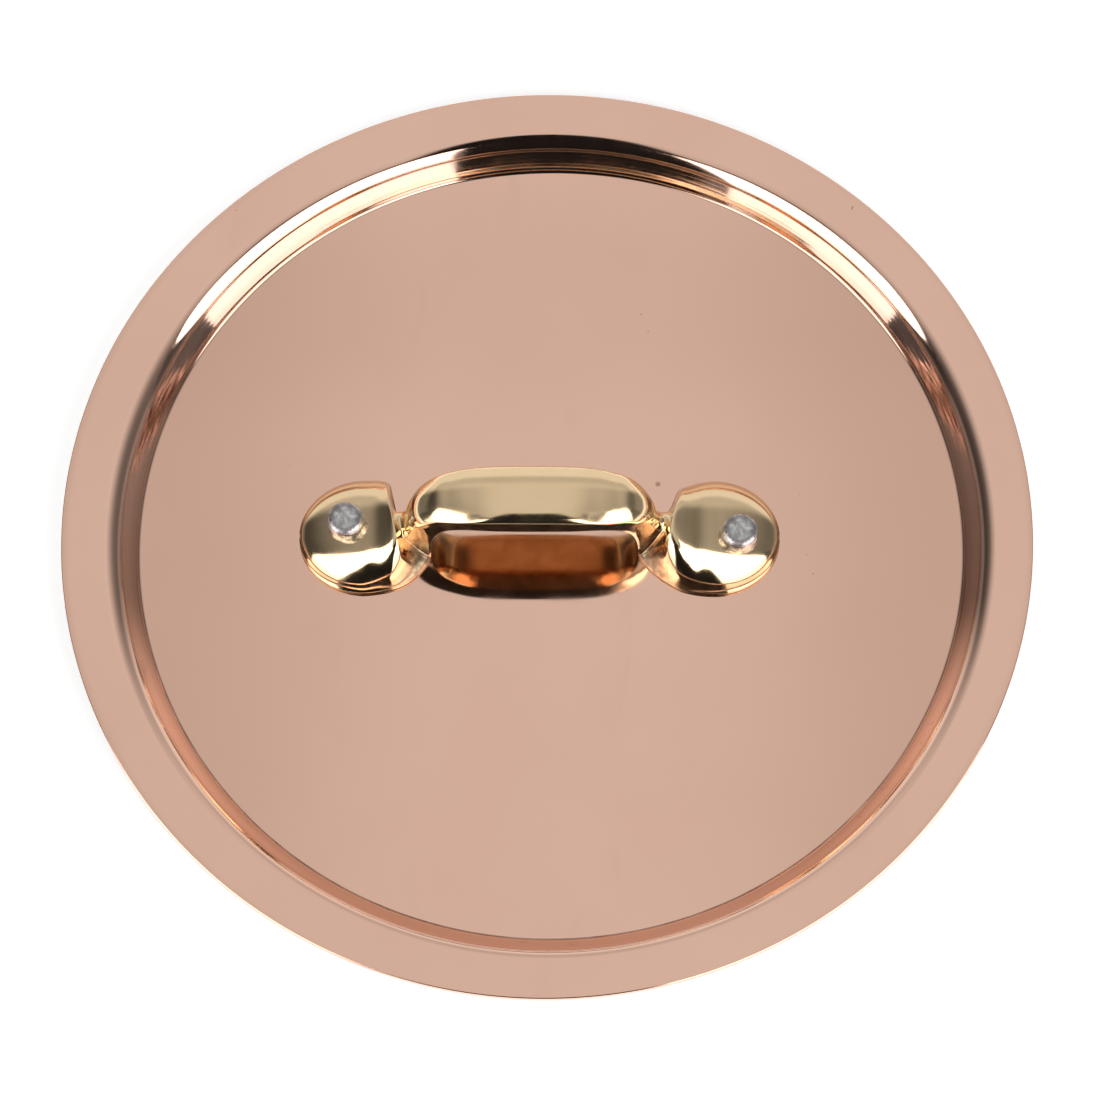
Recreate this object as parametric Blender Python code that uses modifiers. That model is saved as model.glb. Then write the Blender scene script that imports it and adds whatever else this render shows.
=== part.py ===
"""Copper saucepan lid with a sunken centre and a riveted brass bridge handle.

Units are metres, +Z is up and +X runs along the handle.  The origin is under the middle
of the lid, level with the undersides of the two rivet heads that the lid stands on.  The lid's sheets
and rivets are turned, and the handle is a loft along sections.
"""
import math

import bmesh
import bpy
import numpy as np

OBJECT_NAME = "copper_saucepan_lid"
MM = 0.001

# Driving dimensions
RIM_RADIUS = 87.0 * MM          # a lid for a pan of 160 mm bore
FLANGE_INNER_RADIUS = 80.0 * MM
FLOOR_RADIUS = 74.0 * MM
DISH_DEPTH = 5.2 * MM           # flange top down to floor top
COPPER_THICKNESS = 1.0 * MM
LINING_THICKNESS = 0.2 * MM
GAP = 0.3 * MM                  # kept between pieces that touch
EDGE_ROUND = 0.25 * MM          # rounded copper edge
FACETS = 80                     # around every turned piece of the lid

# Wall of the dish, from the flange down: bend, line, band, line, foot
BROW_SLOPE = math.radians(45.0)
LINE_SLOPE = math.radians(59.0)
BAND_SLOPE = math.radians(51.0)
LINE_HEIGHT = 0.36 * MM
FOOT_BLEND = 0.6 * MM

# Rivets
RIVET_RADIUS = 3.2 * MM
RIVET_HEAD_RADIUS = 5.5 * MM
RIVET_HEAD_HEIGHT = 1.4 * MM
RIVET_BRIM = 0.4 * MM           # rounding of the head's rim
RIVET_CROWN = 0.7 * MM          # rounding of the hammered top
RIVET_PLACES = {"left": (-36.0 * MM, 1.2 * MM), "right": (34.6 * MM, -0.9 * MM)}
RIVET_TOP = 8.0 * MM            # stub top above the dish floor
HOLE_REACH = 16.0 * MM          # of a hole's cutter above and below the dish floor
HOLE_CLEARANCE = 0.2 * MM
RIVET_FACETS = 24

# Levels above the rivet heads' undersides
LINING_BOTTOM = RIVET_HEAD_HEIGHT + GAP
COPPER_BOTTOM = LINING_BOTTOM + LINING_THICKNESS + GAP
FLOOR_TOP = COPPER_BOTTOM + COPPER_THICKNESS
FLANGE_TOP = FLOOR_TOP + DISH_DEPTH


def clear_scene():
    for obj in list(bpy.data.objects):
        bpy.data.objects.remove(obj, do_unlink=True)


def collection(name):
    made = bpy.data.collections.new(name)
    bpy.context.scene.collection.children.link(made)
    return made


def metal(name, colour, roughness):
    mat = bpy.data.materials.new(name)
    mat.use_nodes = True
    shader = mat.node_tree.nodes["Principled BSDF"]
    shader.inputs["Base Color"].default_value = (*colour, 1.0)
    shader.inputs["Metallic"].default_value = 1.0
    shader.inputs["Roughness"].default_value = roughness
    return mat


def mesh_object(name, mesh, folder, material=None):
    obj = bpy.data.objects.new(name, mesh)
    folder.objects.link(obj)
    if material:
        mesh.materials.append(material)
    return obj


def bend(centre, radius, start, end, steps):
    """Points on an arc in the (radius, height) plane."""
    return [
        (centre[0] + radius * math.cos(a), centre[1] + radius * math.sin(a))
        for a in (start + (end - start) * i / steps for i in range(steps + 1))
    ]


def wall_outline():
    """Top face of the lid from the dish floor up to the flange, as (radius, height)."""
    up = math.pi / 2
    foot = bend((FLOOR_RADIUS, FOOT_BLEND), FOOT_BLEND, -up, LINE_SLOPE - up, 3)
    line_run = LINE_HEIGHT / math.tan(LINE_SLOPE)
    points = foot + [(foot[-1][0] + line_run, foot[-1][1] + LINE_HEIGHT)]
    # The brow is the arc that ends level at the flange; the band joins it to the lower line.
    run = FLANGE_INNER_RADIUS - points[-1][0] - line_run
    rise = DISH_DEPTH - points[-1][1] - LINE_HEIGHT
    brow_run, brow_rise = math.sin(BROW_SLOPE), 1.0 - math.cos(BROW_SLOPE)
    brow = (run * math.tan(BAND_SLOPE) - rise) / (brow_run * math.tan(BAND_SLOPE) - brow_rise)
    band_top = (points[-1][0] + run - brow * brow_run, DISH_DEPTH - brow * brow_rise - LINE_HEIGHT)
    arc = bend((FLANGE_INNER_RADIUS, DISH_DEPTH - brow), brow, up + BROW_SLOPE, up, 4)
    return points + [band_top] + arc


def shifted(points, depth):
    """The same line moved by depth along its own downward normal."""
    line = np.array(points)
    along = np.gradient(line, axis=0)
    along /= np.linalg.norm(along, axis=1)[:, None]
    return line + depth * np.column_stack((along[:, 1], -along[:, 0]))


def turned(name, profile, folder, material=None, facets=FACETS):
    """A profile of (radius, height) points, turned about Z and baked to a closed mesh."""
    mesh = bpy.data.meshes.new(name)
    mesh.from_pydata([(r, 0.0, z) for r, z in profile], [(i, i + 1) for i in range(len(profile) - 1)], [])
    obj = mesh_object(name, mesh, folder, material)
    screw = obj.modifiers.new("turn", "SCREW")
    screw.steps = screw.render_steps = facets
    screw.use_merge_vertices = True
    screw.merge_threshold = 0.00001
    return obj


def sheet_profile(top_depth, bottom_depth, rim_radius, edge):
    """Closed section of one layer of the lid, between two depths below its top face."""
    wall = [(r, FLOOR_TOP + z) for r, z in wall_outline()]
    top = shifted(wall, top_depth)
    bottom = shifted(wall, bottom_depth)
    upper, lower = FLANGE_TOP - top_depth, FLANGE_TOP - bottom_depth
    up = math.pi / 2
    rim = bend((rim_radius - edge, upper - edge), edge, up, 0.0, 2)
    rim += bend((rim_radius - edge, lower + edge), edge, 0.0, -up, 2)
    profile = [(0.0, FLOOR_TOP - top_depth)] + [tuple(p) for p in top] + rim
    return profile + [tuple(p) for p in bottom[::-1]] + [(0.0, FLOOR_TOP - bottom_depth)]


def cut(obj, cutter):
    boolean = obj.modifiers.new("cut", "BOOLEAN")
    boolean.operation = "DIFFERENCE"
    boolean.solver = "EXACT"
    boolean.object = cutter


def make_hole_cutters(folder):
    cutters = []
    for side, (x, y) in RIVET_PLACES.items():
        radius = RIVET_RADIUS + HOLE_CLEARANCE
        top, bottom = FLOOR_TOP + HOLE_REACH, FLOOR_TOP - HOLE_REACH
        profile = [(0.0, top), (radius, top), (radius, bottom), (0.0, bottom)]
        cutter = turned(f"hole_{side}", profile, folder, facets=RIVET_FACETS)
        cutter.location = (x, y, 0.0)
        cutter.hide_render = True
        cutter.display_type = "WIRE"
        cutters.append(cutter)
    return cutters


def make_sheets(folder, cutters):
    copper = metal("polished_copper", (0.80, 0.50, 0.37), 0.08)
    steel = metal("steel_lining", (0.62, 0.62, 0.60), 0.3)
    shell = turned("lid_shell", sheet_profile(0.0, COPPER_THICKNESS, RIM_RADIUS, EDGE_ROUND), folder, copper)
    upper = COPPER_THICKNESS + GAP
    profile = sheet_profile(upper, upper + LINING_THICKNESS, RIM_RADIUS - EDGE_ROUND, LINING_THICKNESS / 4)
    lining = turned("lid_lining", profile, folder, steel)
    for sheet in (shell, lining):
        for cutter in cutters:
            cut(sheet, cutter)


def make_rivets(folder):
    steel = metal("rivet_metal", (0.60, 0.60, 0.61), 0.35)
    top = FLOOR_TOP + RIVET_TOP
    up, brim_radius = math.pi / 2, RIVET_HEAD_RADIUS - RIVET_BRIM
    profile = [(0.0, top)]
    profile += bend((RIVET_RADIUS - RIVET_CROWN, top - RIVET_CROWN), RIVET_CROWN, up, 0.0, 4)
    profile += [(RIVET_RADIUS, RIVET_HEAD_HEIGHT)]
    profile += bend((brim_radius, RIVET_HEAD_HEIGHT - RIVET_BRIM), RIVET_BRIM, up, 0.0, 3)
    profile += bend((brim_radius, RIVET_BRIM), RIVET_BRIM, 0.0, -up, 3)
    profile += [(0.0, 0.0)]
    for side, (x, y) in RIVET_PLACES.items():
        rivet = turned(f"rivet_{side}", profile, folder, steel, RIVET_FACETS)
        rivet.location = (x, y, 0.0)


# Sections of the casting from a foot's tip to the middle of the grip, in mm from the casting's
# centre: front crease (x, y, z), rear crease (x, y, z), front base (x, y), rear base (x, y),
# base height, rise of the crown (x, z).
LEFT_SECTIONS = (
    (31.4, 9.9, 2.4, 31.4, 9.9, 2.4, 31.4, 11.0, 31.4, 10.8, 0.0, 0.0, 3.3),
    (29.0, 9.4, 2.8, 29.2, 9.9, 2.8, 28.6, 10.7, 29.1, 10.8, 0.0, 0.1, 3.5),
    (26.6, 8.7, 3.7, 27.6, 9.4, 3.3, 25.6, 10.0, 27.3, 10.3, 0.0, 0.2, 3.6),
    (25.3, 7.6, 4.5, 27.2, 7.8, 3.9, 23.4, 9.1, 26.7, 8.8, 0.0, 0.2, 3.3),
    (24.5, 6.2, 5.2, 27.1, 5.8, 4.6, 21.6, 7.7, 26.4, 6.6, 0.0, 0.2, 2.7),
    (24.3, 4.6, 5.6, 26.8, 4.2, 5.1, 20.4, 6.3, 25.9, 4.9, 0.0, 0.2, 2.0),
    (24.2, 3.2, 5.9, 25.9, 3.0, 5.5, 19.7, 5.2, 24.6, 4.1, 0.0, 0.3, 1.3),
    (24.0, 2.5, 5.9, 24.6, 2.6, 6.0, 19.5, 4.7, 22.4, 4.1, 0.3, 0.4, 0.9),
    (23.6, 2.5, 6.7, 23.8, 2.6, 6.7, 19.4, 4.5, 19.8, 4.4, 2.2, 0.6, 0.7),
    (23.2, 2.8, 8.2, 23.2, 2.8, 8.2, 19.2, 4.4, 19.2, 4.4, 4.4, 0.8, 0.5),
    (22.7, 3.2, 10.2, 22.7, 3.2, 10.0, 18.9, 4.2, 18.9, 4.2, 6.8, 0.9, 0.5),
    (22.0, 3.6, 12.2, 22.0, 3.6, 12.0, 18.3, 4.2, 18.3, 4.2, 9.0, 1.0, 0.6),
    (21.1, 3.9, 13.9, 21.1, 3.9, 13.6, 17.3, 4.3, 17.3, 4.3, 10.9, 1.0, 0.8),
    (19.8, 4.3, 15.3, 19.8, 4.2, 14.9, 15.9, 4.5, 15.9, 4.5, 12.4, 0.8, 1.0),
    (17.9, 4.7, 16.7, 17.9, 4.6, 16.1, 14.3, 4.8, 14.3, 4.8, 13.4, 0.5, 1.2),
    (15.6, 5.1, 17.6, 15.6, 5.2, 16.6, 12.7, 5.0, 12.7, 5.0, 13.9, 0.2, 1.3),
    (12.5, 5.5, 18.2, 12.5, 5.6, 17.0, 10.8, 5.2, 10.8, 5.2, 14.2, 0.1, 1.3),
    (8.0, 5.7, 18.6, 8.0, 5.95, 17.2, 7.4, 5.4, 7.4, 5.4, 14.3, 0.0, 1.55),
)
RIGHT_SECTIONS = (
    (31.4, 9.9, 2.7, 31.4, 9.8, 2.6, 31.4, 11.0, 31.4, 10.8, 0.0, 0.0, 3.3),
    (28.8, 9.7, 3.0, 29.2, 9.5, 2.9, 28.6, 10.8, 29.0, 10.5, 0.0, 0.1, 3.6),
    (26.6, 9.3, 3.6, 27.2, 8.9, 3.2, 25.4, 10.1, 26.9, 9.9, 0.0, 0.2, 3.9),
    (24.4, 8.4, 4.4, 25.6, 8.2, 3.8, 22.8, 9.0, 25.2, 9.1, 0.0, 0.2, 3.9),
    (22.9, 6.7, 5.2, 24.9, 6.5, 4.5, 20.6, 7.6, 24.3, 7.2, 0.0, 0.2, 3.5),
    (22.3, 4.8, 5.9, 24.5, 4.5, 5.3, 18.9, 6.0, 23.6, 5.4, 0.0, 0.2, 2.7),
    (22.1, 3.1, 6.5, 23.7, 2.9, 6.1, 18.1, 5.0, 22.6, 4.2, 0.0, 0.3, 1.7),
    (21.9, 2.0, 6.7, 22.4, 2.0, 6.7, 17.9, 4.6, 20.6, 4.1, 0.3, 0.4, 1.0),
    (21.4, 1.8, 7.2, 21.5, 1.8, 7.2, 17.8, 4.4, 18.2, 4.3, 2.4, 0.6, 0.7),
    (20.7, 1.9, 8.1, 20.7, 1.9, 8.0, 17.7, 4.2, 17.7, 4.2, 4.6, 0.8, 0.5),
    (20.1, 2.3, 9.8, 20.1, 2.3, 9.6, 17.4, 4.0, 17.4, 4.0, 6.8, 0.9, 0.5),
    (19.6, 2.8, 11.8, 19.6, 2.8, 11.6, 16.8, 4.0, 16.8, 4.0, 9.0, 1.0, 0.6),
    (18.8, 3.4, 13.5, 18.8, 3.3, 13.2, 15.9, 4.2, 15.9, 4.2, 10.9, 1.0, 0.8),
    (17.6, 4.0, 15.1, 17.6, 3.9, 14.7, 14.5, 4.5, 14.5, 4.5, 12.4, 0.8, 1.0),
    (15.8, 4.5, 16.6, 15.8, 4.5, 16.0, 12.8, 4.8, 12.8, 4.8, 13.4, 0.5, 1.2),
    (13.6, 5.0, 17.5, 13.6, 5.1, 16.5, 11.2, 5.0, 11.2, 5.0, 13.9, 0.2, 1.3),
    (10.6, 5.5, 18.2, 10.6, 5.6, 17.0, 9.0, 5.2, 9.0, 5.2, 14.2, 0.1, 1.3),
    (6.0, 5.7, 18.6, 6.0, 5.95, 17.2, 5.4, 5.4, 5.4, 5.4, 14.3, 0.0, 1.55),
)
GRIP_MIDDLE = (-1.5, 5.75, 18.7, -1.5, 6.0, 17.3, -1.5, 5.45, -1.5, 5.45, 14.3, 0.0, 1.5)
MIRROR = (-1, 1, 1, -1, 1, 1, -1, 1, -1, 1, 1, -1, 1)     # turns a section to the other side
FOOT_TIP = 42.9
FOOT_MIDDLE = 31.4
FOOT_ROWS = 7
TIP_START = math.radians(9.0)   # the first section behind the rounded tip
TIP_EDGE = 1.5                  # height of the crease at the tip
RIDGE_POWER = 0.62              # below 1 the ridge rises fast at the tip and then slows
BASE_FLARE = 0.35               # the base stands out this far past the crease at the tip
FOOT_EDGE = 0.7                 # height of the upright edge round the feet
UNDER_BULGE = 1.0               # of the grip's rounded underside
ROW_STEPS = 2
CROWN_STEPS = 12
FOOT_Y, GRIP_Y = 0.43, 1.4      # the grip stands a little behind the line of the feet
HANDLE_X = -1.35

# Ranges over which one stretch of the casting turns into the next
BAR_ENDS = (4.0, 13.0)          # distance from the grip's middle
FOOT_STARTS = (21.0, 26.0)      # distance from the casting's centre
NECK = (17.0, 27.0)             # distance from the casting's centre
LEG_RISE = (2.0, 13.0)          # height of the base: flat under the foot, round under the grip
EDGE_RISE = (0.0, 3.0)          # height of the base: the upright edge fades
EDGE_LEFT = 0.2                 # share of the upright edge that the arch keeps

# How the crown falls to a crease: a higher power keeps it flat longer and then drops it faster
CROWN_POWER = 2.2
FRONT_POWER = {"foot": 2.2, "bar": 3.4}     # added on the front half
REAR_POWER = {"foot": 1.2, "bar": -0.1}     # added on the rear half
UNDER_POWER = 3.5


def smooth_step(x, low, high):
    t = min(1.0, max(0.0, (x - low) / (high - low)))
    return t * t * (3.0 - 2.0 * t)


def foot_rows(first):
    """Sections from the tip of a foot back to its widest one."""
    rows = []
    length = FOOT_TIP - FOOT_MIDDLE
    for i in range(FOOT_ROWS):
        angle = TIP_START + (math.pi / 2 - TIP_START) * i / FOOT_ROWS
        c, s = math.cos(angle), math.sin(angle)
        x, back = FOOT_MIDDLE + length * c, 1.0 - c
        front = TIP_EDGE + (first[2] - TIP_EDGE) * back
        rear = TIP_EDGE + (first[5] - TIP_EDGE) * back
        ridge = TIP_EDGE + (first[2] + first[12] - TIP_EDGE) * back**RIDGE_POWER
        base = x + BASE_FLARE * c
        rows.append((x, first[1] * s, front, x, first[4] * s, rear,
                     base, first[7] * s, base, first[9] * s, 0.0, 0.0, ridge - front))
    return rows


def spline_rows(rows, steps):
    """Catmull-Rom curve through the rows."""
    keys = np.array([rows[0], *rows, rows[-1]])
    keys[0] = 2 * keys[1] - keys[2]
    keys[-1] = 2 * keys[-2] - keys[-3]
    out = []
    for a, b, c, d in zip(keys, keys[1:], keys[2:], keys[3:]):
        for t in np.arange(steps) / steps:
            out.append(0.5 * (2 * b + (c - a) * t + (2 * a - 5 * b + 4 * c - d) * t**2
                              + (3 * b - a - 3 * c + d) * t**3))
    return out + [keys[-2]]


def crown_point(row, a):
    """Point of the top face of a section: a is -1 at the front crease and 1 at the rear one."""
    xf, yf, zf, xr, yr, zr, _, _, _, _, _, rise_x, rise_z = row
    edge, other = ((xf, -yf, zf), (xr, yr, zr)) if a < 0 else ((xr, yr, zr), (xf, -yf, zf))
    bar = 1.0 - smooth_step(abs((xf + xr) / 2 - GRIP_MIDDLE[0]), *BAR_ENDS)
    foot = smooth_step(abs(xf + xr) / 2, *FOOT_STARTS)
    more = FRONT_POWER if a < 0 else REAR_POWER
    fall = abs(a) ** (CROWN_POWER + more["foot"] * foot + more["bar"] * bar)
    top = (zf + zr) / 2 + rise_z
    x = (xf + xr) / 2 + abs(a) * (edge[0] - other[0]) / 2 + rise_x * (1.0 - fall)
    return np.array((x, edge[1] * abs(a), top + (edge[2] - top) * fall))


def handle_section(row):
    """One closed ring: underside, rear face, crowned top, front face."""
    xf, yf, zf, xr, yr, zr, xbf, ybf, xbr, ybr, zb, _, _ = row
    front, rear = np.array((xf, -yf, zf)), np.array((xr, yr, zr))
    front_base, rear_base = np.array((xbf, -ybf, zb)), np.array((xbr, ybr, zb))
    under = (front_base + rear_base - front - rear) / 2
    under *= UNDER_BULGE * smooth_step(zb, *LEG_RISE) / np.linalg.norm(under)
    upright = np.array((0.0, 0.0, FOOT_EDGE)) * (1.0 - smooth_step(zb, *EDGE_RISE) * (1.0 - EDGE_LEFT))
    ring = [front_base + (rear_base - front_base) * (t + 1) / 2 + under * (1 - abs(t) ** UNDER_POWER)
            for t in (-1.0, -0.6, 0.0, 0.6)]
    ring += [rear_base, rear_base + upright]
    places = np.sin(np.linspace(1.0, -1.0, CROWN_STEPS + 1) * math.pi / 2)
    ring += [crown_point(row, a) for a in places]
    return ring + [front_base + upright]


def placed_section(row):
    """The section in metres, at its place on the lid."""
    middle = GRIP_Y + (FOOT_Y - GRIP_Y) * smooth_step(abs(row[0]), *NECK)
    base = FLOOR_TOP + GAP
    return [((x + HANDLE_X) * MM, (y + middle) * MM, z * MM + base) for x, y, z in handle_section(row)]


def make_handle(folder, cutters):
    right = foot_rows(RIGHT_SECTIONS[0]) + list(RIGHT_SECTIONS)
    left = foot_rows(LEFT_SECTIONS[0]) + list(LEFT_SECTIONS)
    keys = [*right, GRIP_MIDDLE, *(np.multiply(row, MIRROR) for row in left[::-1])]
    bm = bmesh.new()
    loops = [[bm.verts.new(p) for p in placed_section(row)] for row in spline_rows(keys, ROW_STEPS)]
    for near, far in zip(loops, loops[1:]):
        for i in range(len(near)):
            j = (i + 1) % len(near)
            bm.faces.new((near[i], near[j], far[j], far[i]))
    bm.faces.new(loops[0])
    bm.faces.new(loops[-1])
    bmesh.ops.recalc_face_normals(bm, faces=bm.faces)
    mesh = bpy.data.meshes.new("handle")
    bm.to_mesh(mesh)
    bm.free()
    brass = metal("polished_brass", (0.72, 0.60, 0.36), 0.1)
    handle = mesh_object("handle", mesh, folder, brass)
    for cutter in cutters:
        cut(handle, cutter)
    mesh.shade_smooth()
    mesh.set_sharp_from_angle(angle=math.radians(35.0))


def main():
    clear_scene()
    folder = collection(OBJECT_NAME)
    cutters = make_hole_cutters(collection("cutters"))
    make_sheets(folder, cutters)
    make_handle(folder, cutters)
    make_rivets(folder)


main()
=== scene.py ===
"""Looks of the copper saucepan lid: mirror-polished copper, polished cast brass, grey rivets.

Metres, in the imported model's frame: +X along the handle, +Z up, the camera on the -Y side.
"""
import math

import bmesh
import bpy
import numpy as np
from mathutils import Matrix, Vector


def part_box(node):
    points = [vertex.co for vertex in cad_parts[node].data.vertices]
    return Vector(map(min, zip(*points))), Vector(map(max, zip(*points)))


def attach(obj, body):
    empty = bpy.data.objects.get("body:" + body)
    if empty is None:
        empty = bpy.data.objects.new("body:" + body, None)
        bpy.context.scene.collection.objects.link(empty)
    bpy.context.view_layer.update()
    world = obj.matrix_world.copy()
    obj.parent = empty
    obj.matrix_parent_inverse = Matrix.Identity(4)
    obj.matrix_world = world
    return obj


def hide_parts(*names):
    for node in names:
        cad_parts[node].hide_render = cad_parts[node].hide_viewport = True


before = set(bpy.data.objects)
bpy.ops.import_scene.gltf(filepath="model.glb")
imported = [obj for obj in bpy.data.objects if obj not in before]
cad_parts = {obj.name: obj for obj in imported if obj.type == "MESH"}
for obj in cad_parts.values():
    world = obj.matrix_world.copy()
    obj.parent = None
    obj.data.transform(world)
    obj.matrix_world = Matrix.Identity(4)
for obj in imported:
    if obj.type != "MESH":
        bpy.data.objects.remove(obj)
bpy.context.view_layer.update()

MM = 0.001

# Lid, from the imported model
SHELL_LOW, SHELL_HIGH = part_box("lid_shell")
COPPER_THICKNESS = 1.0 * MM
RIM_RADIUS = SHELL_HIGH.x
FLANGE_TOP = SHELL_HIGH.z
FLOOR_TOP = SHELL_LOW.z + COPPER_THICKNESS
DISH_DEPTH = FLANGE_TOP - FLOOR_TOP
LINING_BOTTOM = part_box("lid_lining")[0].z
SHEET_THICKNESS = FLOOR_TOP - LINING_BOTTOM
LINING_THICKNESS = 0.3 * MM
LAYER_GAP = 0.02 * MM          # between the copper and the lining

# Wall of the dish
BROW_RADIUS = 80.0 * MM        # where the flange starts to bend down
WALL_RADII = (73.4 * MM, 80.4 * MM)         # the wall and its bends lie between these
WALL_SLOPES = (53.0, 57.0)                  # of the band and of the line at its foot, in degrees
FAR_WALL_SLOPES = (49.0, 54.5)
FAR_SIDE = (0.3, 0.7)                       # sines of the angles between which the slope changes
WALL_RIPPLES = ((0.35, 11.3, 0.0), (0.3, 19.7, 1.0))    # degrees, per mm of radius, phase
WALL_SAMPLES = 961
WALL_SMOOTHING = 25                         # samples
WALL_STEPS = 150
DISH_SHIFT = Vector((0.7 * MM, -0.6 * MM))  # the rim was trimmed a little off the dish's centre
TURN_STEPS = 288
STAIN_PLACE = Vector((20.0 * MM, 11.0 * MM))

# Rivets: a round-shouldered stub, a shank and a low head under the lid
RIVET_SHANK = 3.3 * MM
RIVET_SHOULDER = 1.15 * MM
RIVET_STUB = 2.0 * MM
RIVET_BRIM = 0.4 * MM
RIVET_HEAD_HEIGHT = 1.4 * MM
RIVET_STEPS = 64

# Camera
CAMERA_DISTANCE = 850.0 * MM
CAMERA_ELEVATION = math.radians(68.3)
CAMERA_AZIMUTH = math.radians(1.9)
CAMERA_ROLL = math.radians(1.55)
LENS = 155.4
SENSOR = 36.0
AIM_SHIFT = Vector((0.5 * MM, -3.9 * MM))


def make_camera():
    """Camera in front of the lid and high above it, rolled a little."""
    lens = bpy.data.cameras.new("camera")
    lens.lens = LENS
    lens.sensor_width = SENSOR
    lens.clip_start = 0.01
    camera = bpy.data.objects.new("camera", lens)
    bpy.context.scene.collection.objects.link(camera)
    middle = Vector((0.0, 0.0, FLANGE_TOP))
    right = Vector((math.cos(CAMERA_AZIMUTH), math.sin(CAMERA_AZIMUTH), 0.0))
    ahead = Vector((-right.y, right.x, 0.0))
    back = -ahead * math.cos(CAMERA_ELEVATION) + Vector((0.0, 0.0, math.sin(CAMERA_ELEVATION)))
    place = middle + back * CAMERA_DISTANCE
    aim = middle + right * AIM_SHIFT.x + ahead * AIM_SHIFT.y
    look = (aim - place).normalized()
    side = look.cross(Vector((0.0, 0.0, 1.0))).normalized()
    up = side.cross(look)
    side_rolled = side * math.cos(CAMERA_ROLL) - up * math.sin(CAMERA_ROLL)
    up_rolled = side * math.sin(CAMERA_ROLL) + up * math.cos(CAMERA_ROLL)
    turn = Matrix((side_rolled, up_rolled, -look)).transposed()
    camera.matrix_world = Matrix.Translation(place) @ turn.to_4x4()
    bpy.context.scene.camera = camera


make_camera()


# ---------------------------------------------------------------- shapes

def new_object(name, mesh, material, replaced):
    obj = bpy.data.objects.new(name, mesh)
    bpy.context.scene.collection.objects.link(obj)
    mesh.materials.append(material)
    mesh.shade_smooth()
    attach(obj, "root")
    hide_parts(replaced)
    return obj


def bend(centre, radius, start, end, steps):
    """Points on an arc in the (radius, height) plane."""
    angles = [start + (end - start) * i / steps for i in range(steps + 1)]
    return [(centre[0] + radius * math.cos(a), centre[1] + radius * math.sin(a)) for a in angles]


def smooth_step(x, low, high):
    """0 below low, 1 above high and smooth between them."""
    t = min(1.0, max(0.0, (x - low) / (high - low)))
    return t * t * (3.0 - 2.0 * t)


def wall_slope(radius, band, line):
    """Slope angle of the dish wall at a radius: foot, lower line, band, upper line, brow."""
    keys = (
        (73.60, 0.0), (74.10, 18.0), (74.35, band - 1.0), (74.60, line), (74.85, band),
        (76.50, band - 0.5), (76.80, band), (76.95, 57.0), (77.10, 52.0), (77.30, 45.0),
        (78.00, 31.0), (79.00, 15.5), (80.05, 0.0),
    )
    r = radius / MM
    slope = float(np.interp(r, [k[0] for k in keys], [k[1] for k in keys]))
    on_wall = smooth_step(r, 74.6, 75.2) * (1.0 - smooth_step(r, 78.6, 79.6))
    ripple = sum(size * math.sin(r * rate + phase) for size, rate, phase in WALL_RIPPLES)
    return math.radians(slope + on_wall * ripple)


def wall_points(slopes_at):
    """(radius, height above the floor) up the wall, from adding up its slope."""
    radii = np.linspace(*WALL_RADII, WALL_SAMPLES)
    slopes = np.array([wall_slope(r, *slopes_at) for r in radii])
    kernel = np.hanning(WALL_SMOOTHING)
    padded = np.pad(slopes, WALL_SMOOTHING // 2, mode="edge")
    slopes = np.convolve(padded, kernel / kernel.sum(), mode="valid")
    rise = np.concatenate(([0.0], np.cumsum(np.tan(slopes[:-1]) * np.diff(radii))))
    rise *= DISH_DEPTH / rise[-1]
    length = np.concatenate(([0.0], np.cumsum(np.hypot(np.diff(radii), np.diff(rise)))))
    even = np.linspace(0.0, length[-1], WALL_STEPS + 1)
    return list(zip(np.interp(even, length, radii), np.interp(even, length, rise)))


def turned_mesh(name, profile, steps, shift=None, far_profile=None):
    """A profile of (radius, height) points that starts and ends on the axis, turned about Z.

    The mesh changes to the far profile towards +Y, and shift moves each radius off the axis.
    """
    bm = bmesh.new()
    first = bm.verts.new((0.0, 0.0, profile[0][1]))
    last = bm.verts.new((0.0, 0.0, profile[-1][1]))
    rings = []
    for near, far in zip(profile[1:-1], (far_profile or profile)[1:-1]):
        ring = []
        for i in range(steps):
            a = 2.0 * math.pi * i / steps
            share = smooth_step(math.sin(a), *FAR_SIDE)
            radius, height = (n + (f - n) * share for n, f in zip(near, far))
            move = shift(radius) if shift else Vector((0.0, 0.0))
            x, y = radius * math.cos(a) + move.x, radius * math.sin(a) + move.y
            ring.append(bm.verts.new((x, y, height)))
        rings.append(ring)
    for i in range(steps):
        j = (i + 1) % steps
        bm.faces.new((first, rings[0][i], rings[0][j]))
        bm.faces.new((last, rings[-1][j], rings[-1][i]))
        for upper, lower in zip(rings, rings[1:]):
            bm.faces.new((upper[i], lower[i], lower[j], upper[j]))
    bmesh.ops.recalc_face_normals(bm, faces=bm.faces)
    mesh = bpy.data.meshes.new(name)
    bm.to_mesh(mesh)
    bm.free()
    return mesh


def dish_shift(radius):
    """The dish is off the rim's centre; the flange takes up the difference."""
    return DISH_SHIFT * (1.0 - smooth_step(radius, BROW_RADIUS, RIM_RADIUS))


def offset_line(points, depth):
    """The same line moved by depth along its own downward normal."""
    line = np.array(points)
    along = np.gradient(line, axis=0)
    along /= np.linalg.norm(along, axis=1)[:, None]
    return line + depth * np.column_stack((along[:, 1], -along[:, 0]))


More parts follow.
